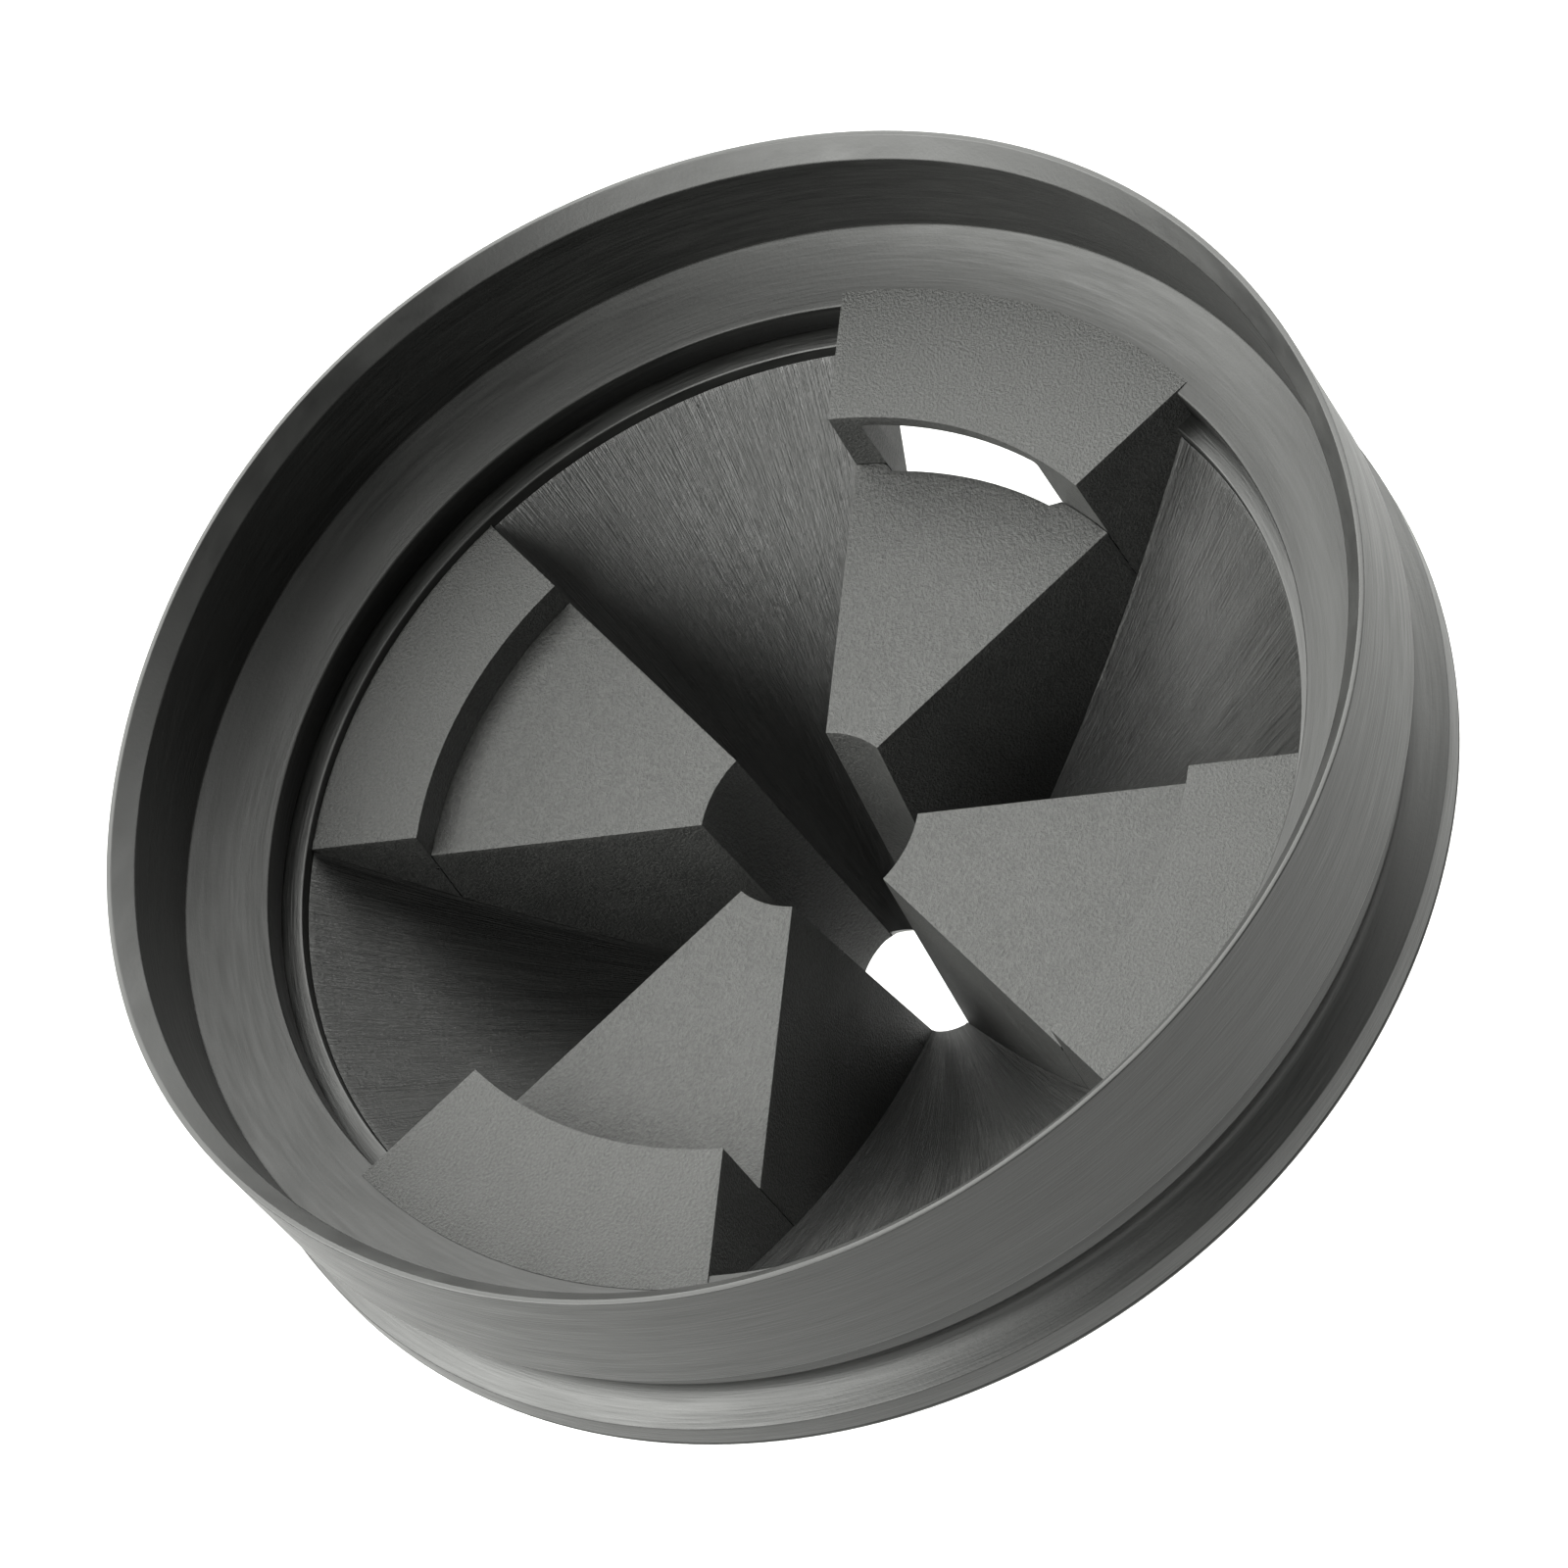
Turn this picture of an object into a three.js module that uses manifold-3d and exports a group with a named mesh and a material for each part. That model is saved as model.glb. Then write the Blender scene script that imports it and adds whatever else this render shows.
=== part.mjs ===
// Splash baffle of a kitchen waste disposer: a moulded rubber collar with a pinwheel of flaps.
// Millimetres, +Z up. The origin is on the axis, in the plane that the bead rests on.
import * as THREE from 'three';
import { mergeVertices } from 'three/addons/utils/BufferGeometryUtils.js';
import Module from 'manifold-3d';

const wasm = await Module();
wasm.setup();

// Driving dimensions.
const RIM_R = 43.5;            // outside of the rim, half of the 87 mm across it
const RIM_TOP = 20;            // height of the rim above the seat
const RIM_FLAT = 0.35;         // flat on top of the rim, outside the sloping lip
const LIP_DROP = 1.3;          // height of the sloping lip
const SKIRT_TAPER = 0.2;       // how far the skirt draws in at its bottom
const WALL = 1.5;              // thin skirt wall
const SKIN = 1.6;              // plates and flap walls
const GAP = 0.3;               // between neighbouring regions
const RING_STEPS = 80;         // facets around every ring

const LEDGE_R = RIM_R - 1.86;  // inside of the skirt at the ledge
const LEDGE_TOP = 11.1;        // ledge where it meets the skirt
const THROAT_R = 36.3;         // inner edge of the ledge
const THROAT_TOP = 9.9;
const LEDGE_BOTTOM = 7.6;
const LEDGE_RISE = 0.4;        // how far the dished ledge runs up at the skirt
const LEDGE_DISH = 1.9;        // exponent of the dish
const HANGER_R = 35;           // inner edge of the ring that the funnel flaps hang from
const HANGER_TOP = 7.2;
const HANGER_BOTTOM = 5.4;
const HANGER_OUTER_R = 38.6;
const NECK_R = 41.2;           // bottom of the groove between skirt and bead
const NECK_TOP_R = 42;         // straight band between the groove and the skirt
const GROOVE_TOP = 6.1;
const GROOVE_Z = 4.3;          // height of the groove's deepest line
const SKIRT_BOTTOM = 9;
const BEAD_R = 43.4;
const BEAD_THICK = 2.4;
const BEAD_EASE = 0.3;         // rounding above the bead, in radius
const BEAD_EASE_RISE = 0.15;   // and in height
const BAND_INNER_R = 39.6;     // inside of the neck
const BAND_TOP = 7.3;          // where the neck steps out under the ledge

const WEDGE_TOP = 4.3;         // flat wedge flaps, all four in one plane
const HIGH_WEDGE_ROOT_R = 26.6; // short of the slot
const LOW_WEDGE_ROOT_R = 27;
const HIGH_WEDGE_TIP_R = 6.5;  // the bore is a little longer along Y
const LOW_WEDGE_TIP_R = 7.7;
const WEDGE_TAN = 0.42;        // half width grows by this much for each mm outwards
const WEDGE_INSET = 0.534;     // how far inside a radial line each wedge side runs
const SIDE_DRAFT = Math.tan(2.5 * Math.PI / 180);
const TIP_DRAFT = Math.tan(7 * Math.PI / 180);
const ARC_R = 27.3;            // inner edge of the arc plates
const HIGH_PLATE_TOP = 10;     // the pair on X, level with the ledge
const HIGH_PLATE_R = 37.3;
const LOW_PLATE_TOP = 6.6;     // the pair on Y, nearly level with the hanger ring
const LOW_PLATE_R = HANGER_R - GAP;
const STEP_WALL = 1.3;         // wall between a plate and its wedge flap
const SLOT_HALF_ANGLE = 13.7 * Math.PI / 180;

const FUNNEL_OUTER_R = HANGER_R - GAP;
const FUNNEL_INNER_R = 4.4;
const FUNNEL_START = 6.3;      // funnel surface at the hanger ring
const FUNNEL_SLOPE = 1.011;
const FUNNEL_BOW = 0.00742;
const FUNNEL_SKIN = 2;         // measured straight down
const FLOOR = -22;             // below every piece
const BEYOND = 10;             // how far cutting shapes run past what they cut

const funnelZ = (r) => {
  const inward = HANGER_R - r;
  return FUNNEL_START - FUNNEL_SLOPE * inward + FUNNEL_BOW * inward * inward;
};

function solidOf(geometry) {
  const bare = geometry.index ? geometry.clone() : geometry;
  bare.deleteAttribute('normal');
  bare.deleteAttribute('uv');
  const merged = mergeVertices(bare, 1e-5);
  const mesh = new wasm.Mesh({
    numProp: 3,
    vertProperties: new Float32Array(merged.attributes.position.array),
    triVerts: new Uint32Array(merged.index.array),
  });
  return new wasm.Manifold(mesh);
}

function geometryOf(solid) {
  const mesh = solid.getMesh();
  const geometry = new THREE.BufferGeometry();
  geometry.setAttribute('position', new THREE.BufferAttribute(mesh.vertProperties, 3));
  geometry.setIndex(new THREE.BufferAttribute(mesh.triVerts, 1));
  geometry.computeVertexNormals();
  return geometry;
}

// A closed (radius, height) outline turned about Z.
function turned(outline) {
  const points = outline.map(([r, z]) => new THREE.Vector2(r, z));
  if (THREE.ShapeUtils.area(points) < 0) points.reverse();
  points.push(points[0].clone());
  const geometry = new THREE.LatheGeometry(points, RING_STEPS);
  geometry.rotateX(Math.PI / 2);
  return solidOf(geometry);
}

// A solid between the same outline at two heights: outline(z) gives the points at height z.
function drafted(outline, bottom, top) {
  const low = outline(bottom);
  const high = outline(top);
  const count = low.length;
  const position = [];
  for (const [x, y] of low) position.push(x, y, bottom);
  for (const [x, y] of high) position.push(x, y, top);
  const index = [];
  for (let i = 0; i < count; i += 1) {
    const next = (i + 1) % count;
    index.push(i, next, count + next, i, count + next, count + i);
  }
  const cap = (ring, offset, flip) => {
    const contour = ring.map(([x, y]) => new THREE.Vector2(x, y));
    for (const [a, b, c] of THREE.ShapeUtils.triangulateShape(contour, [])) {
      if (flip) index.push(offset + a, offset + c, offset + b);
      else index.push(offset + a, offset + b, offset + c);
    }
  };
  cap(low, 0, true);
  cap(high, count, false);
  const geometry = new THREE.BufferGeometry();
  geometry.setAttribute('position', new THREE.Float32BufferAttribute(position, 3));
  geometry.setIndex(index);
  return solidOf(geometry);
}

// The angle at which the side of a wedge, moved out by grow, crosses a circle of radius r.
// A side runs a little inside a radial line, and the mould's draft widens it downwards.
function sideAngle(r, z, grow) {
  const slant = Math.atan(WEDGE_TAN);
  const offset = WEDGE_INSET - (WEDGE_TOP - z) * SIDE_DRAFT - grow / Math.cos(slant);
  return slant - Math.asin(Math.min(1, offset * Math.cos(slant) / r));
}

function arcPoints(r, from, to, steps) {
  const points = [];
  for (let i = 0; i <= steps; i += 1) {
    const angle = from + (to - from) * i / steps;
    points.push([r * Math.cos(angle), r * Math.sin(angle)]);
  }
  return points;
}

// Plan of a wedge along +X between two radii, its sides moved out by grow.
function wedgePlan(innerR, outerR, grow) {
  return (z) => {
    const inner = typeof innerR === 'function' ? innerR(z) : innerR;
    const outerAngle = sideAngle(outerR, z, grow);
    const innerAngle = sideAngle(inner, z, grow);
    return [
      ...arcPoints(outerR, -outerAngle, outerAngle, 10),
      ...arcPoints(inner, innerAngle, -innerAngle, 4),
    ];
  };
}

// Everything under a surface that lies depth below the funnel.
function underFunnel(depth) {
  const outline = [[0, funnelZ(0) - depth]];
  for (let i = 1; i <= 12; i += 1) {
    const r = HANGER_R * i / 12;
    outline.push([r, funnelZ(r) - depth]);
  }
  const outer = HANGER_R + BEYOND;
  outline.push([outer, funnelZ(HANGER_R) - depth - BEYOND / 2]);
  outline.push([outer, FLOOR - BEYOND], [0, FLOOR - BEYOND]);
  const points = outline.map(([r, z]) => new THREE.Vector2(r, z)).reverse();
  const geometry = new THREE.LatheGeometry(points, RING_STEPS);
  geometry.rotateX(Math.PI / 2);
  return solidOf(geometry);
}

const turn = (solid, degrees) => solid.rotate([0, 0, degrees]);

// Upper collar: a thin wall with a lip that slopes in and down.
function skirt() {
  return turned([
    [RIM_R - SKIRT_TAPER, SKIRT_BOTTOM], [RIM_R, RIM_TOP], [RIM_R - RIM_FLAT, RIM_TOP],
    [RIM_R - WALL, RIM_TOP - LIP_DROP], [LEDGE_R, LEDGE_TOP], [LEDGE_R, SKIRT_BOTTOM],
  ]);
}

// Dished ledge inside the collar, notched where the two high plates run into it.
function ledgeRing() {
  const outer = LEDGE_R - GAP;
  const rise = LEDGE_TOP + LEDGE_RISE - THROAT_TOP;
  const outline = [[outer, LEDGE_BOTTOM]];
  const steps = 5;
  for (let i = 0; i <= steps; i += 1) {
    const run = i / steps;
    const lift = rise * (1 - run) ** LEDGE_DISH;
    outline.push([outer + (THROAT_R - outer) * run, THROAT_TOP + lift]);
  }
  outline.push([THROAT_R, LEDGE_BOTTOM]);
  const plan = wedgePlan(ARC_R, HIGH_PLATE_R + GAP, GAP);
  const notch = drafted(plan, LEDGE_BOTTOM - 1, RIM_TOP);
  return turned(outline).subtract(notch).subtract(turn(notch, 180));
}

// Ring one step below the ledge that the funnel flaps hang from.
function hangerRing() {
  return turned([
    [HANGER_R, HANGER_BOTTOM], [HANGER_OUTER_R, HANGER_BOTTOM],
    [HANGER_OUTER_R, HANGER_TOP], [HANGER_R, HANGER_TOP],
  ]);
}

// Lower collar: a grooved neck above the bead.
function neckAndBead() {
  const neckTop = SKIRT_BOTTOM - GAP;
  const easedR = BEAD_R - BEAD_EASE;
  const easedZ = BEAD_THICK + BEAD_EASE_RISE;
  const outline = [[BAND_INNER_R, 0], [BEAD_R, 0], [BEAD_R, BEAD_THICK]];
  const steps = 4;
  for (let i = -steps; i <= steps; i += 1) {
    const run = i / steps;
    const endR = run < 0 ? easedR : NECK_TOP_R;
    const endZ = run < 0 ? easedZ : GROOVE_TOP;
    outline.push([NECK_R + (endR - NECK_R) * run * run, GROOVE_Z + (endZ - GROOVE_Z) * Math.abs(run)]);
  }
  outline.push([NECK_TOP_R, neckTop], [LEDGE_R, neckTop]);
  outline.push([LEDGE_R, BAND_TOP], [BAND_INNER_R, BAND_TOP]);
  return turned(outline);
}

// Arc plate along +X with its side walls, and the step down to its wedge flap.
function arcPlate(top, outerR, hasSlot) {
  const webBottom = top - SKIN;
  const stepBottom = WEDGE_TOP - SKIN;
  let plate = drafted(wedgePlan(ARC_R, FUNNEL_OUTER_R, 0), FLOOR, top);
  plate = plate.subtract(underFunnel(FUNNEL_SKIN));
  const hollow = wedgePlan(ARC_R + STEP_WALL, HANGER_R + BEYOND, -SKIN);
  plate = plate.subtract(drafted(hollow, FLOOR - 1, webBottom));
  const underStep = wedgePlan(ARC_R - SKIN, HANGER_R, -SKIN);
  plate = plate.subtract(drafted(underStep, FLOOR - 1, stepBottom));
  if (outerR > FUNNEL_OUTER_R) {
    plate = plate.add(drafted(wedgePlan(ARC_R + STEP_WALL, outerR, 0), webBottom, top));
  }
  if (hasSlot) {
    const slotPlan = () => [
      ...arcPoints(ARC_R + STEP_WALL + SKIN, -SLOT_HALF_ANGLE, SLOT_HALF_ANGLE, 6),
      ...arcPoints(ARC_R - SKIN, SLOT_HALF_ANGLE, -SLOT_HALF_ANGLE, 6),
    ];
    plate = plate.subtract(drafted(slotPlan, stepBottom - 1, webBottom));
  }
  return plate;
}

// Flat wedge flap along +X: a top, two side walls and a hollow end wall around the bore.
function wedgeFlap(tipR, rootR) {
  const tip = (z) => tipR - (WEDGE_TOP - z) * TIP_DRAFT;
  let flap = drafted(wedgePlan(tip, rootR, 0), FLOOR, WEDGE_TOP);
  flap = flap.subtract(underFunnel(FUNNEL_SKIN));
  const hollow = wedgePlan((z) => tip(z) + SKIN, rootR + BEYOND, -SKIN);
  return flap.subtract(drafted(hollow, FLOOR - 1, WEDGE_TOP - SKIN));
}

// Funnel flap between the wedges at 0 and 90 degrees.
function funnelFlap() {
  const outline = [];
  const steps = 9;
  for (let i = 0; i <= steps; i += 1) {
    const r = FUNNEL_INNER_R + (FUNNEL_OUTER_R - FUNNEL_INNER_R) * i / steps;
    outline.push([r, funnelZ(r)]);
  }
  for (let i = steps; i >= 0; i -= 1) outline.push([outline[i][0], outline[i][1] - FUNNEL_SKIN]);
  const farR = HANGER_R + BEYOND;
  const nearR = FUNNEL_INNER_R - 1;
  const between = (z) => {
    const far = sideAngle(farR, z, GAP);
    const near = sideAngle(nearR, z, GAP);
    return [
      ...arcPoints(farR, far, Math.PI / 2 - far, 4),
      ...arcPoints(nearR, Math.PI / 2 - near, near, 1),
    ];
  };
  return turned(outline).intersect(drafted(between, FLOOR - 1, RIM_TOP));
}

const baffle = new THREE.Group();

function place(name, solid, colour, roughness) {
  const material = new THREE.MeshStandardMaterial({ color: colour, roughness, metalness: 0 });
  const mesh = new THREE.Mesh(geometryOf(solid), material);
  mesh.name = name;
  baffle.add(mesh);
}

const COLLAR = '#2b2b2b';
const PLATE = '#343534';
const WEDGE = '#383938';
const FUNNEL = '#262626';

place('skirt', skirt(), COLLAR, 0.55);
place('ledge_ring', ledgeRing(), COLLAR, 0.5);
place('hanger_ring', hangerRing(), COLLAR, 0.5);
place('neck_and_bead', neckAndBead(), COLLAR, 0.5);

const highPlate = arcPlate(HIGH_PLATE_TOP, HIGH_PLATE_R, true);
const lowPlate = arcPlate(LOW_PLATE_TOP, LOW_PLATE_R, false);
const highFlap = wedgeFlap(HIGH_WEDGE_TIP_R, HIGH_WEDGE_ROOT_R);
const lowFlap = wedgeFlap(LOW_WEDGE_TIP_R, LOW_WEDGE_ROOT_R);
const sloping = funnelFlap();
for (let quarter = 0; quarter < 4; quarter += 1) {
  const isHigh = quarter % 2 === 0;
  const plateName = `${isHigh ? 'high' : 'low'}_arc_plate_${1 + Math.floor(quarter / 2)}`;
  place(plateName, turn(isHigh ? highPlate : lowPlate, quarter * 90), PLATE, 0.75);
  place(`wedge_flap_${quarter + 1}`, turn(isHigh ? highFlap : lowFlap, quarter * 90), WEDGE, 0.75);
  place(`funnel_flap_${quarter + 1}`, turn(sloping, quarter * 90), FUNNEL, 0.5);
}

export default baffle;
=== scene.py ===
"""Looks of a moulded rubber splash baffle: each region of the moulding is its own detailed piece."""

import math

import bmesh
import bpy
from mathutils import Matrix, Vector


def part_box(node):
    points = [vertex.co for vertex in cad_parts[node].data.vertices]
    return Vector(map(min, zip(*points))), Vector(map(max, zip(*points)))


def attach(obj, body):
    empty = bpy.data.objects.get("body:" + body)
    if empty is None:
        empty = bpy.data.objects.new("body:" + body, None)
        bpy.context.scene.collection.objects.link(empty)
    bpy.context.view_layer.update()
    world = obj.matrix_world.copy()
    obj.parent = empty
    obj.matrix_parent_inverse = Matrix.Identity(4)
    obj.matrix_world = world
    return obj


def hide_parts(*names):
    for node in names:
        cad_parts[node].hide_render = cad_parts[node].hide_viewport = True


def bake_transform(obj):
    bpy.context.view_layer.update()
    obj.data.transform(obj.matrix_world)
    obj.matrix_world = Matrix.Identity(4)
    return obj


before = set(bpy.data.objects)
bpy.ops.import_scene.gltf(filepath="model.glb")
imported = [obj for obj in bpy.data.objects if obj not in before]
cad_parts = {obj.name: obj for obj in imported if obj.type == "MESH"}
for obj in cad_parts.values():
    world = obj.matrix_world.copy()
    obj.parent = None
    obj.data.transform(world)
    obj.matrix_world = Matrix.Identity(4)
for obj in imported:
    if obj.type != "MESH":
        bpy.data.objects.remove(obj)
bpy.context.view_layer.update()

MM = 0.001

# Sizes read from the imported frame.
RIM_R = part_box("skirt")[1].x
RIM_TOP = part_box("skirt")[1].z
SKIRT_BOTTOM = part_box("skirt")[0].z
BEAD_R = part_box("neck_and_bead")[1].x
HANGER_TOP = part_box("hanger_ring")[1].z
HANGER_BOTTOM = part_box("hanger_ring")[0].z
WEDGE_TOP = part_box("wedge_flap_1")[1].z
HIGH_PLATE_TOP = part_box("high_arc_plate_1")[1].z
HIGH_PLATE_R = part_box("high_arc_plate_1")[1].x
LOW_PLATE_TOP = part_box("low_arc_plate_1")[1].z

# Radii of the regions; a wedge has one for its tip and one for its root.
HIGH_WEDGE = (6.5 * MM, 26.6 * MM)
LOW_WEDGE = (7.7 * MM, 27.15 * MM)
ARC_R = 27.3 * MM
HANGER_R = 35.0 * MM
THROAT_R = 36.3 * MM
LEDGE_R = RIM_R - 1.86 * MM
FLAP_OUTER_R = HANGER_R - 0.06 * MM

# The funnel surface and the sides of the wedges, shaped as in the CAD.
FUNNEL_START = 6.3 * MM
FUNNEL_SLOPE = 1.011
FUNNEL_BOW = 7.42
FUNNEL_DEPTH = 2.0 * MM
SKIN = 1.6 * MM
SLANT = math.atan(0.42)
SIDE_INSET = 0.534 * MM
SIDE_DRAFT = math.tan(math.radians(2.5))
TIP_DRAFT = math.tan(math.radians(7))
STEP_BOTTOM = WEDGE_TOP - SKIN
FLAP_TIP_Z = -17.8 * MM

# The slot under a high plate, turned a little about Z.
SLOT_HALF = math.radians(14.6)
SLOT_TURN = math.radians(2.6)
SLOT_TOP = HIGH_PLATE_TOP - MM
SLOT_CORNER = 0.4 * MM

# Clearances, laps, edge widths and the fine lip along a funnel flap's edges.
FLAP_GAP = 0.03 * MM
ROOT_CLEARANCE = 0.08 * MM
SLOT_EASE = 0.4 * MM
BORE_LAP = 0.4 * MM
LIP_HEIGHT = 0.11 * MM
LIP_WIDTH = 0.12 * MM
PLATE_EDGE = 0.22 * MM
FLAP_EDGE = 0.1 * MM
FLAP_SKIN = 1.45 * MM

RING_STEPS = 240


def funnel_z(r):
    """Height of the funnel flaps' upper surface."""
    inward = HANGER_R - r
    return FUNNEL_START - FUNNEL_SLOPE * inward + FUNNEL_BOW * inward * inward


def side_angle(r, z, grow=0.0):
    """Angle at which a wedge's side, moved out by grow, crosses radius r at height z."""
    offset = SIDE_INSET - (WEDGE_TOP - z) * SIDE_DRAFT - grow / math.cos(SLANT)
    return SLANT - math.asin(offset * math.cos(SLANT) / r)


def bore_r(tip, z):
    """Radius at height z of the bore wall under a wedge's tip."""
    return tip - (WEDGE_TOP - z) * TIP_DRAFT


def slot_edge(z):
    """Half angle of a high plate's slot at height z; its upper corners are rounded."""
    rise = min(max(0.0, z - SLOT_TOP + SLOT_CORNER), SLOT_CORNER)
    inset = SLOT_CORNER - math.sqrt(SLOT_CORNER * SLOT_CORNER - rise * rise)
    return SLOT_HALF - inset / ARC_R


def polar(r, angle, z):
    return Vector((r * math.cos(angle), r * math.sin(angle), z))


def spread(low, high, count):
    """Values in count equal steps from low to high, both ends included."""
    return [low + (high - low) * i / count for i in range(count + 1)]


# ---- mesh building ----

def add_object(name, data):
    """A new object in the scene that holds data."""
    piece = bpy.data.objects.new(name, data)
    bpy.context.scene.collection.objects.link(piece)
    return piece


def mesh_object(name, verts, faces):
    """A new object with welded vertices, its top facing up and the rest to match."""
    mesh = bpy.data.meshes.new(name)
    mesh.from_pydata(verts, [], faces)
    form = bmesh.new()
    form.from_mesh(mesh)
    bmesh.ops.remove_doubles(form, verts=form.verts, dist=0.002 * MM)
    bmesh.ops.dissolve_degenerate(form, edges=form.edges, dist=0.002 * MM)
    bmesh.ops.recalc_face_normals(form, faces=form.faces)
    highest = max(form.faces, key=lambda face: face.calc_center_median().z)
    if highest.normal.z < 0:
        bmesh.ops.reverse_faces(form, faces=form.faces)
    form.to_mesh(mesh)
    form.free()
    mesh.shade_smooth()
    return add_object(name, mesh)


def grid(us, vs, point, verts, faces):
    """Adds a grid of quads whose corners are point(u, v)."""
    base = len(verts)
    verts.extend(point(u, v) for u in us for v in vs)
    wide = len(vs)
    for i in range(len(us) - 1):
        for j in range(wide - 1):
            a = base + i * wide + j
            faces.append((a, a + wide, a + wide + 1, a + 1))


def rounded(corners, steps=5):
    """A closed (radius, height) outline in which each corner (r, z, fillet) is eased."""
    outline = []
    for i, (r, z, fillet) in enumerate(corners):
        here = Vector((r, z))
        if fillet == 0:
            outline.append(here)
            continue
        before = Vector(corners[i - 1][:2]) - here
        after = Vector(corners[(i + 1) % len(corners)][:2]) - here
        run = fillet / math.tan(before.angle(after) / 2)
        run = min(run, 0.45 * before.length, 0.45 * after.length)
        start = here + before.normalized() * run
        end = here + after.normalized() * run
        for t in spread(0, 1, steps):
            outline.append(start * (1 - t) ** 2 + here * 2 * t * (1 - t) + end * t * t)
    return outline


def out_of_round(angle):
    """How far the rim stands out from a circle; the last term keeps it in the CAD's box."""
    waves = 0.16 * math.cos(2 * angle + 0.92) + 0.22 * math.cos(3 * angle - 2.48)
    return (waves + 0.16 * math.cos(5 * angle + 0.21) - 0.12) * MM


def lathe(name, outline):
    """Turns a closed outline about Z; from the skirt's foot up it gradually goes out of round."""
    verts = []
    faces = []
    count = len(outline)
    for i in range(RING_STEPS):
        angle = 2 * math.pi * i / RING_STEPS
        for r, z in outline:
            share = max(0.0, z - SKIRT_BOTTOM) / (RIM_TOP - SKIRT_BOTTOM)
            verts.append(polar(r + out_of_round(angle) * share, angle, z))
        for j in range(count):
            k = (j + 1) % count
            low = i * count
            high = (i + 1) % RING_STEPS * count
            faces.append((low + j, high + j, high + k, low + k))
    return mesh_object(name, verts, faces)


def soften(piece, edge=0.0, thickness=0.0):
    """Gives a sheet its thickness, rounds its edges and keeps its flats flat."""
    if thickness:
        shell = piece.modifiers.new("skin", "SOLIDIFY")
        shell.thickness = thickness
        shell.offset = -1
        shell.use_even_offset = True
    if edge:
        bevel = piece.modifiers.new("edges", "BEVEL")
        bevel.width = edge
        bevel.segments = 3
        bevel.limit_method = "ANGLE"
        bevel.angle_limit = math.radians(34)
        bevel.use_clamp_overlap = True
    weighted = piece.modifiers.new("normals", "WEIGHTED_NORMAL")
    weighted.keep_sharp = True
    weighted.weight = 60


def bake_modifiers(piece):
    """Replaces the mesh by its evaluated form."""
    graph = bpy.context.evaluated_depsgraph_get()
    final = bpy.data.meshes.new_from_object(piece.evaluated_get(graph), depsgraph=graph)
    piece.modifiers.clear()
    piece.data = final


# ---- materials ----

def nodes_of(material):
    material.use_nodes = True
    tree = material.node_tree
    return tree, tree.nodes["Principled BSDF"]


def add_node(tree, kind, **settings):
    node = tree.nodes.new(kind)
    for key, value in settings.items():
        setattr(node, key, value)
    return node


def math_node(tree, operation, a, b=None):
    node = add_node(tree, "ShaderNodeMath", operation=operation)
    for socket, value in zip(node.inputs, (a, b)):
        if value is None:
            continue
        if isinstance(value, (int, float)):
            socket.default_value = value
        else:
            tree.links.new(value, socket)
    return node.outputs[0]


def noise_at(tree, vector, scale, detail, roughness=0.55, distortion=0.0):
    node = add_node(tree, "ShaderNodeTexNoise")
    node.inputs["Scale"].default_value = scale
    node.inputs["Detail"].default_value = detail
    node.inputs["Roughness"].default_value = roughness
    node.inputs["Distortion"].default_value = distortion
    tree.links.new(vector, node.inputs["Vector"])
    return node.outputs[0]


def remap(tree, value, low, high):
    """Value from 0..1 noise, centred on 0.5, to low..high."""
    node = add_node(tree, "ShaderNodeMapRange")
    node.inputs["From Min"].default_value = 0.25
    node.inputs["From Max"].default_value = 0.75
    node.inputs["To Min"].default_value = low
    node.inputs["To Max"].default_value = high
    tree.links.new(value, node.inputs["Value"])
    return node.outputs[0]


def combine(tree, x, y, z):
    node = add_node(tree, "ShaderNodeCombineXYZ")
    for socket, value in zip(node.inputs, (x, y, z)):
        if isinstance(value, (int, float)):
            socket.default_value = value
        else:
            tree.links.new(value, socket)
    return node.outputs[0]


def place_vector(tree):
    return add_node(tree, "ShaderNodeTexCoord").outputs["Object"]


def turned_vector(tree, around, across):
    """Coordinates stretched round the axis: slow around it, fine across it."""
    split = add_node(tree, "ShaderNodeSeparateXYZ")
    tree.links.new(place_vector(tree), split.inputs[0])
    x, y, z = split.outputs
    x_square = math_node(tree, "MULTIPLY", x, x)
    y_square = math_node(tree, "MULTIPLY", y, y)
    radius = math_node(tree, "SQRT", math_node(tree, "ADD", x_square, y_square))
    return combine(
        tree,
        math_node(tree, "MULTIPLY", math_node(tree, "DIVIDE", x, radius), around),
        math_node(tree, "MULTIPLY", math_node(tree, "DIVIDE", y, radius), around),
        math_node(tree, "MULTIPLY", math_node(tree, "SUBTRACT", radius, z), across),
    )


def radial_vector(tree, around, along):
    """UV coordinates stretched along the radius: u is in turns and v is in metres."""
    uv = add_node(tree, "ShaderNodeTexCoord").outputs["UV"]
    split = add_node(tree, "ShaderNodeSeparateXYZ")
    tree.links.new(uv, split.inputs[0])
    u, v, _ = split.outputs
    return combine(
        tree,
        math_node(tree, "MULTIPLY", u, around),
        math_node(tree, "MULTIPLY", v, along),
        0.0,
    )


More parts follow.
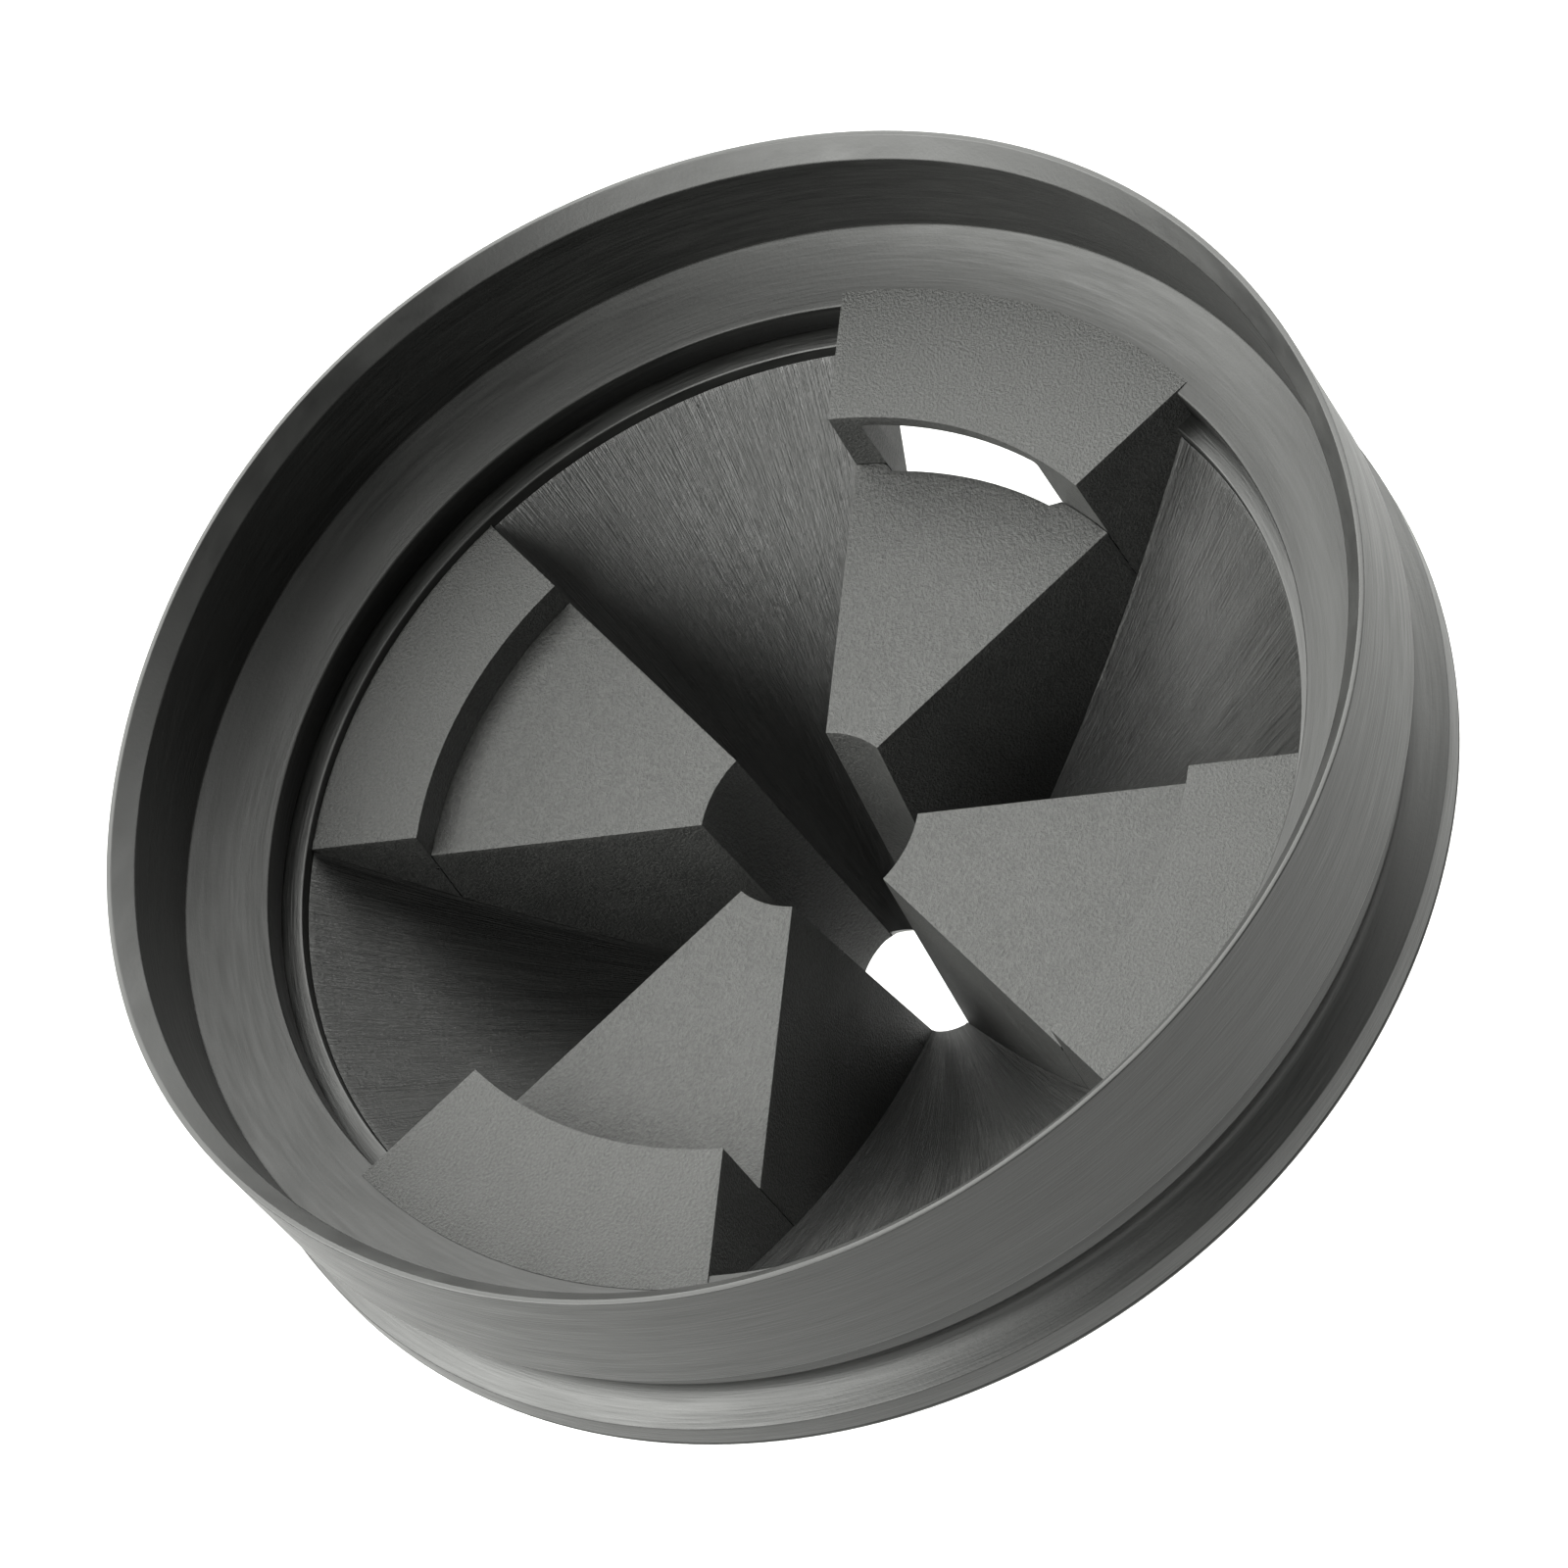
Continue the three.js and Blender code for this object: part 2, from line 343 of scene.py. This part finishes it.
def shade(tree, shader, colour, tone, roughness, height, bump):
    """Wires tone (around 1) to the colour, roughness, and height to the normal."""
    tint = add_node(tree, "ShaderNodeVectorMath", operation="SCALE")
    tint.inputs[0].default_value = colour
    tree.links.new(tone, tint.inputs["Scale"])
    tree.links.new(tint.outputs[0], shader.inputs["Base Color"])
    tree.links.new(roughness, shader.inputs["Roughness"])
    relief = add_node(tree, "ShaderNodeBump")
    relief.inputs["Strength"].default_value = 1.0
    relief.inputs["Distance"].default_value = bump
    tree.links.new(height, relief.inputs["Height"])
    tree.links.new(relief.outputs[0], shader.inputs["Normal"])


def turned_rubber(name, sheen):
    """Satin rubber of the collar, with fine streaks running round it."""
    material = bpy.data.materials.new(name)
    tree, shader = nodes_of(material)
    streaks = noise_at(tree, turned_vector(tree, 9.0, 5200.0), 1.0, 3.0)
    bands = noise_at(tree, turned_vector(tree, 3.0, 900.0), 1.0, 2.0)
    grain = noise_at(tree, place_vector(tree), 3800.0, 3.0)
    blotch = noise_at(tree, place_vector(tree), 120.0, 3.0)
    tone = math_node(tree, "MULTIPLY", remap(tree, streaks, 0.4, 1.6), remap(tree, blotch, 0.7, 1.3))
    gloss = math_node(tree, "ADD", remap(tree, streaks, -0.07, 0.07), remap(tree, bands, 0.42, 0.5))
    height = math_node(tree, "ADD", streaks, math_node(tree, "MULTIPLY", grain, 0.4))
    shade(tree, shader, (0.0030, 0.0031, 0.0028), tone, gloss, height, 0.02 * MM)
    shader.inputs["Specular IOR Level"].default_value = sheen
    return material


def matte_rubber(name, colour):
    """Matte moulded rubber with a fine sandy grain."""
    material = bpy.data.materials.new(name)
    tree, shader = nodes_of(material)
    grain = noise_at(tree, place_vector(tree), 5000.0, 3.0, 0.65)
    cloud = noise_at(tree, place_vector(tree), 300.0, 3.0)
    tone = math_node(tree, "MULTIPLY", remap(tree, grain, -0.4, 2.4), remap(tree, cloud, 0.85, 1.15))
    gloss = remap(tree, cloud, 0.56, 0.64)
    shade(tree, shader, colour, tone, gloss, grain, 0.12 * MM)
    return material


def funnel_rubber():
    """Satin rubber with fine wavy streaks running down towards the bore."""
    material = bpy.data.materials.new("funnel_rubber")
    tree, shader = nodes_of(material)
    streaks = noise_at(tree, radial_vector(tree, 1500.0, 240.0), 1.0, 4.0, 0.65, 0.3)
    broad = noise_at(tree, radial_vector(tree, 160.0, 60.0), 1.0, 2.0, 0.5, 0.6)
    grain = noise_at(tree, place_vector(tree), 3600.0, 3.0)
    tone = math_node(tree, "MULTIPLY", remap(tree, streaks, 0.2, 1.8), remap(tree, broad, 0.7, 1.3))
    gloss = math_node(tree, "ADD", remap(tree, streaks, -0.14, 0.14), remap(tree, broad, 0.38, 0.5))
    height = math_node(tree, "ADD", streaks, math_node(tree, "MULTIPLY", grain, 0.35))
    shade(tree, shader, (0.0032, 0.0033, 0.0030), tone, gloss, height, 0.1 * MM)
    return material


COLLAR = turned_rubber("collar_rubber", 0.5)
LEDGE = turned_rubber("ledge_rubber", 0.32)
PLATE = matte_rubber("plate_rubber", (0.0100, 0.0102, 0.0096))
WEDGE = matte_rubber("wedge_rubber", (0.0090, 0.0092, 0.0086))
FUNNEL = funnel_rubber()


def settle(piece, node, material):
    """Gives the piece its material and hides the CAD part that it stands for."""
    piece.data.materials.clear()
    piece.data.materials.append(material)
    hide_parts(node)


# ---- collar ----

def skirt():
    taper = 0.2 * MM
    lip_flat = 0.35 * MM
    lip_drop = 1.3 * MM
    wall = 1.5 * MM
    ledge_z = 11.2 * MM
    outline = rounded([
        (RIM_R - taper, SKIRT_BOTTOM, 0.25 * MM),
        (RIM_R, RIM_TOP, 0.12 * MM),
        (RIM_R - lip_flat, RIM_TOP, 0.12 * MM),
        (RIM_R - wall, RIM_TOP - lip_drop, 0.3 * MM),
        (LEDGE_R, ledge_z, 0),
        (LEDGE_R, SKIRT_BOTTOM, 0),
    ])
    return lathe("skirt_moulding", outline)


def ledge_ring():
    top = 9.9 * MM
    rise = 1.6 * MM
    outer = LEDGE_R + 0.3 * MM
    bottom = 7.6 * MM
    dish = 1.9
    corners = [(outer, bottom, 0), (outer, top + rise, 0)]
    for run in spread(0.08, 0.92, 14):
        corners.append((outer + (THROAT_R - outer) * run, top + rise * (1 - run) ** dish, 0))
    corners += [(THROAT_R, top, 0.3 * MM), (THROAT_R, bottom, 0)]
    return lathe("ledge_ring_moulding", rounded(corners))


def hanger_ring():
    outer = 39.6 * MM
    outline = rounded([
        (HANGER_R, HANGER_BOTTOM, 0.15 * MM),
        (HANGER_R, HANGER_TOP, 0.15 * MM),
        (outer, HANGER_TOP, 0),
        (outer, HANGER_BOTTOM, 0),
    ])
    return lathe("hanger_ring_moulding", outline)


def neck_and_bead():
    """The bead with a fine line round it, the groove above, and a straight band up to the skirt."""
    inner = 39.55 * MM
    band_top = SKIRT_BOTTOM + 0.05 * MM
    bead_top = 2.4 * MM
    groove = (41.2 * MM, 4.3 * MM)
    flare = (BEAD_R - 0.3 * MM, bead_top + 0.15 * MM)
    band = (42 * MM, 6.1 * MM)
    corners = [
        (inner, 0.0, 0.2 * MM),
        (BEAD_R - 0.1 * MM, 0.0, 0.1 * MM),
        (BEAD_R, 0.36 * MM, 0),
        (BEAD_R - 0.16 * MM, 0.45 * MM, 0),
        (BEAD_R, 0.54 * MM, 0),
        (BEAD_R, bead_top, 0.15 * MM),
    ]
    for run in spread(-1, 1, 16):
        end = flare if run < 0 else band
        r = groove[0] + (end[0] - groove[0]) * run * run
        corners.append((r, groove[1] + (end[1] - groove[1]) * abs(run), 0))
    corners += [(band[0], band_top, 0), (inner, band_top, 0)]
    return lathe("neck_and_bead_moulding", rounded(corners))


# ---- plates and flaps, each built along +X and then turned into place ----

def under_funnel(r):
    """Height of the funnel flaps' underside."""
    return funnel_z(r) - FUNNEL_DEPTH


def arc_plate(name, top, outer_r, has_slot):
    """A plate, its two side walls, and the arc wall that steps down to its wedge flap."""
    verts = []
    faces = []
    side_bottom = -4 * MM
    columns = spread(ARC_R, FLAP_OUTER_R, 12)
    if outer_r > FLAP_OUTER_R:
        columns += spread(FLAP_OUTER_R, outer_r, 3)[1:]
    heights = spread(top, STEP_BOTTOM, 8)
    if has_slot:
        corner = SLOT_TOP - SLOT_CORNER
        heights = spread(top, SLOT_TOP, 2) + spread(SLOT_TOP, corner, 6)[1:]
        heights += spread(corner, STEP_BOTTOM, 4)[1:]
    beside = spread(1, 2, 4)
    between = spread(-1, 1, 14)

    def arc_angle(v, z):
        """The slot's ends are at v = -1 and 1, and the plate's sides at -2 and 2."""
        if abs(v) <= 1:
            return SLOT_TURN + v * slot_edge(z)
        end = SLOT_TURN + math.copysign(slot_edge(z), v)
        return end + (math.copysign(side_angle(ARC_R, z), v) - end) * (abs(v) - 1)

    def on_top(r, v):
        return polar(r, arc_angle(v, top) * side_angle(r, top) / side_angle(ARC_R, top), top)

    def on_arc(v, z):
        return polar(ARC_R, arc_angle(v, z), z)

    across = [-v for v in reversed(beside)] + between[1:-1] + beside
    grid(columns, across, on_top, verts, faces)
    grid(beside, heights, on_arc, verts, faces)
    grid([-v for v in beside], heights, on_arc, verts, faces)
    grid(between, heights[:3] if has_slot else heights, on_arc, verts, faces)
    for sign in (-1, 1):
        def on_side(r, z, sign=sign):
            foot = under_funnel(r) if r <= FLAP_OUTER_R else HANGER_TOP - 0.1 * MM
            z = max(z, foot)
            return polar(r, sign * side_angle(r, z), z)
        grid(columns, heights + spread(STEP_BOTTOM, side_bottom, 8)[1:], on_side, verts, faces)
    return mesh_object(name, verts, faces)


def wedge_flap(name, tip, root):
    """A wedge's top, sides and bore wall; the top stops short of the plate at its slot."""
    verts = []
    faces = []
    bore_bottom = funnel_z(bore_r(tip, FLAP_TIP_Z)) - BORE_LAP
    reach = ARC_R - ROOT_CLEARANCE

    def wall_point(s, t):
        """Radius and height, s of the way out and t of the way down; each depends on the other."""
        r = tip + s * (reach - tip)
        for _ in range(12):
            z = WEDGE_TOP + t * (max(under_funnel(r), bore_bottom) - WEDGE_TOP)
            r = bore_r(tip, z) + s * (reach - bore_r(tip, z))
        return r, z

    def on_top(s, v):
        r = tip + s * (reach - tip)
        turn = v * side_angle(r, WEDGE_TOP)
        beyond = (abs(v * side_angle(reach, WEDGE_TOP) - SLOT_TURN) - SLOT_HALF) * reach
        ease = min(max(0.0, 1 + beyond / SLOT_EASE), 1.0)
        end = root + (reach - root) * ease
        return polar(tip + s * (end - tip), turn, WEDGE_TOP)

    along = spread(0, 1, 36)
    down = spread(0, 1, 22)
    across = spread(-1, 1, 64)
    grid(along, across, on_top, verts, faces)
    for sign in (-1, 1):
        def on_side(s, t, sign=sign):
            r, z = wall_point(s, t)
            return polar(r, sign * side_angle(r, z), z)
        grid(along, down, on_side, verts, faces)

    def on_tip(v, t):
        r, z = wall_point(0, t)
        return polar(r, v * side_angle(r, z), z)
    grid(across, down, on_tip, verts, faces)
    return mesh_object(name, verts, faces)


def funnel_flap(name, middle, near_tip, far_tip):
    """Built in place, because its streaks follow the angle; its tip joins the wedges' tips."""
    mesh = bpy.data.meshes.new(name)
    shares = [math.sin(math.pi / 2 * v) for v in spread(-1, 1, 44)]
    form = bmesh.new()
    uv = form.loops.layers.uv.new("polar")
    rows = []
    for s in spread(0, 1, 90):
        row = []
        for v in shares:
            tip = bore_r(near_tip + (far_tip - near_tip) * (1 + v) / 2, FLAP_TIP_Z)
            r = tip + (FLAP_OUTER_R - tip) * s
            z = funnel_z(r)
            half = math.pi / 4 - side_angle(r, z, FLAP_GAP)
            angle = middle + v * half
            away = (1 - abs(v)) * half * r
            lip = LIP_HEIGHT * math.exp(-(away / LIP_WIDTH) ** 2)
            row.append((form.verts.new(polar(r, angle, z + lip)), angle, r))
        rows.append(row)
    for i in range(len(rows) - 1):
        for j in range(len(shares) - 1):
            corners = [rows[i][j], rows[i + 1][j], rows[i + 1][j + 1], rows[i][j + 1]]
            face = form.faces.new([corner[0] for corner in corners])
            for loop, corner in zip(face.loops, corners):
                loop[uv].uv = (corner[1] / (2 * math.pi), corner[2])
    bmesh.ops.recalc_face_normals(form, faces=form.faces)
    form.to_mesh(mesh)
    form.free()
    mesh.shade_smooth()
    piece = add_object(name, mesh)
    if mesh.polygons[0].normal.z < 0:
        mesh.flip_normals()
    return piece


for build, node, rubber in (
    (skirt, "skirt", COLLAR),
    (ledge_ring, "ledge_ring", LEDGE),
    (hanger_ring, "hanger_ring", COLLAR),
    (neck_and_bead, "neck_and_bead", COLLAR),
):
    ring = build()
    soften(ring)
    settle(ring, node, rubber)
    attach(ring, "collar")

for quarter in range(4):
    azimuth = math.radians(90 * quarter)
    is_high = quarter % 2 == 0
    plate_node = f"{'high' if is_high else 'low'}_arc_plate_{1 + quarter // 2}"
    plate = arc_plate(
        f"{plate_node}_moulding",
        HIGH_PLATE_TOP if is_high else LOW_PLATE_TOP,
        HIGH_PLATE_R if is_high else FLAP_OUTER_R,
        is_high,
    )
    plate.data.transform(Matrix.Rotation(azimuth, 4, "Z"))
    soften(plate, PLATE_EDGE, SKIN)
    settle(plate, plate_node, PLATE)
    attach(plate, "collar")

    wedge_node = f"wedge_flap_{quarter + 1}"
    tip, root = HIGH_WEDGE if is_high else LOW_WEDGE
    wedge = wedge_flap(f"{wedge_node}_moulding", tip, root)
    wedge.data.transform(Matrix.Rotation(azimuth, 4, "Z"))
    soften(wedge, PLATE_EDGE, SKIN)
    bake_modifiers(wedge)
    settle(wedge, wedge_node, WEDGE)
    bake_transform(wedge)

    middle = azimuth + math.pi / 4
    flap_node = f"funnel_flap_{quarter + 1}"
    next_tip = LOW_WEDGE[0] if is_high else HIGH_WEDGE[0]
    flap = funnel_flap(f"{flap_node}_moulding", middle, tip, next_tip)
    soften(flap, FLAP_EDGE, FLAP_SKIN)
    bake_modifiers(flap)
    settle(flap, flap_node, FUNNEL)
    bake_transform(flap)


# ---- stage ----

def floor():
    mesh = bpy.data.meshes.new("floor")
    half = 3.0
    height = -0.25
    mesh.from_pydata(
        [(-half, -half, height), (half, -half, height), (half, half, height), (-half, half, height)],
        [],
        [(0, 1, 2, 3)],
    )
    plane = add_object("floor", mesh)
    material = bpy.data.materials.new("pale_floor")
    _, shader = nodes_of(material)
    shader.inputs["Base Color"].default_value = (0.34, 0.34, 0.34, 1)
    shader.inputs["Roughness"].default_value = 0.9
    mesh.materials.append(material)


def surround(base, patches):
    """A white surround with soft brighter patches: azimuth, elevation, brightness."""
    world = bpy.data.worlds.new("surround")
    world.use_nodes = True
    tree = world.node_tree
    direction = add_node(tree, "ShaderNodeTexCoord").outputs["Generated"]
    patch_edge = math.cos(math.radians(32))
    patch_core = math.cos(math.radians(14))
    total = base
    for azimuth, elevation, brightness in patches:
        turn = math.radians(azimuth)
        lift = math.radians(elevation)
        facing = add_node(tree, "ShaderNodeVectorMath", operation="DOT_PRODUCT")
        tree.links.new(direction, facing.inputs[0])
        facing.inputs[1].default_value = (
            math.cos(turn) * math.cos(lift), math.sin(turn) * math.cos(lift), math.sin(lift))
        patch = add_node(tree, "ShaderNodeMapRange", interpolation_type="SMOOTHSTEP")
        patch.inputs["From Min"].default_value = patch_edge
        patch.inputs["From Max"].default_value = patch_core
        patch.inputs["To Max"].default_value = brightness
        tree.links.new(facing.outputs["Value"], patch.inputs["Value"])
        total = math_node(tree, "ADD", patch.outputs[0], total)
    background = tree.nodes["Background"]
    background.inputs["Color"].default_value = (0.99, 1, 0.965, 1)
    tree.links.new(total, background.inputs["Strength"])
    bpy.context.scene.world = world


def camera():
    azimuth = math.radians(-30.3)
    elevation = math.radians(51.85)
    roll = math.radians(-37.1)
    target = Vector((-2.66, -4.71, 15.76)) * MM
    distance = 627.98 * MM
    data = bpy.data.cameras.new("camera")
    data.lens = 225
    data.sensor_width = 36
    data.clip_start = 0.01
    data.clip_end = 20
    eye = add_object("camera", data)
    eye.matrix_world = (
        Matrix.Translation(target)
        @ Matrix.Rotation(azimuth, 4, "Z")
        @ Matrix.Rotation(math.pi / 2 - elevation, 4, "X")
        @ Matrix.Rotation(roll, 4, "Z")
        @ Matrix.Translation((0, 0, distance))
    )
    bpy.context.scene.camera = eye


floor()
surround(0.3, [
    (126, 43, 14.0),
    (180, 38, 10.5),
    (60, 48, 7.4),
    (0, 38, 4.5),
    (67, 12, 4.5),
    (22, 12, 5.5),
    (157, 12, 3.0),
    (337, 12, 3.5),
])
camera()
bpy.context.scene.view_settings.view_transform = "Standard"
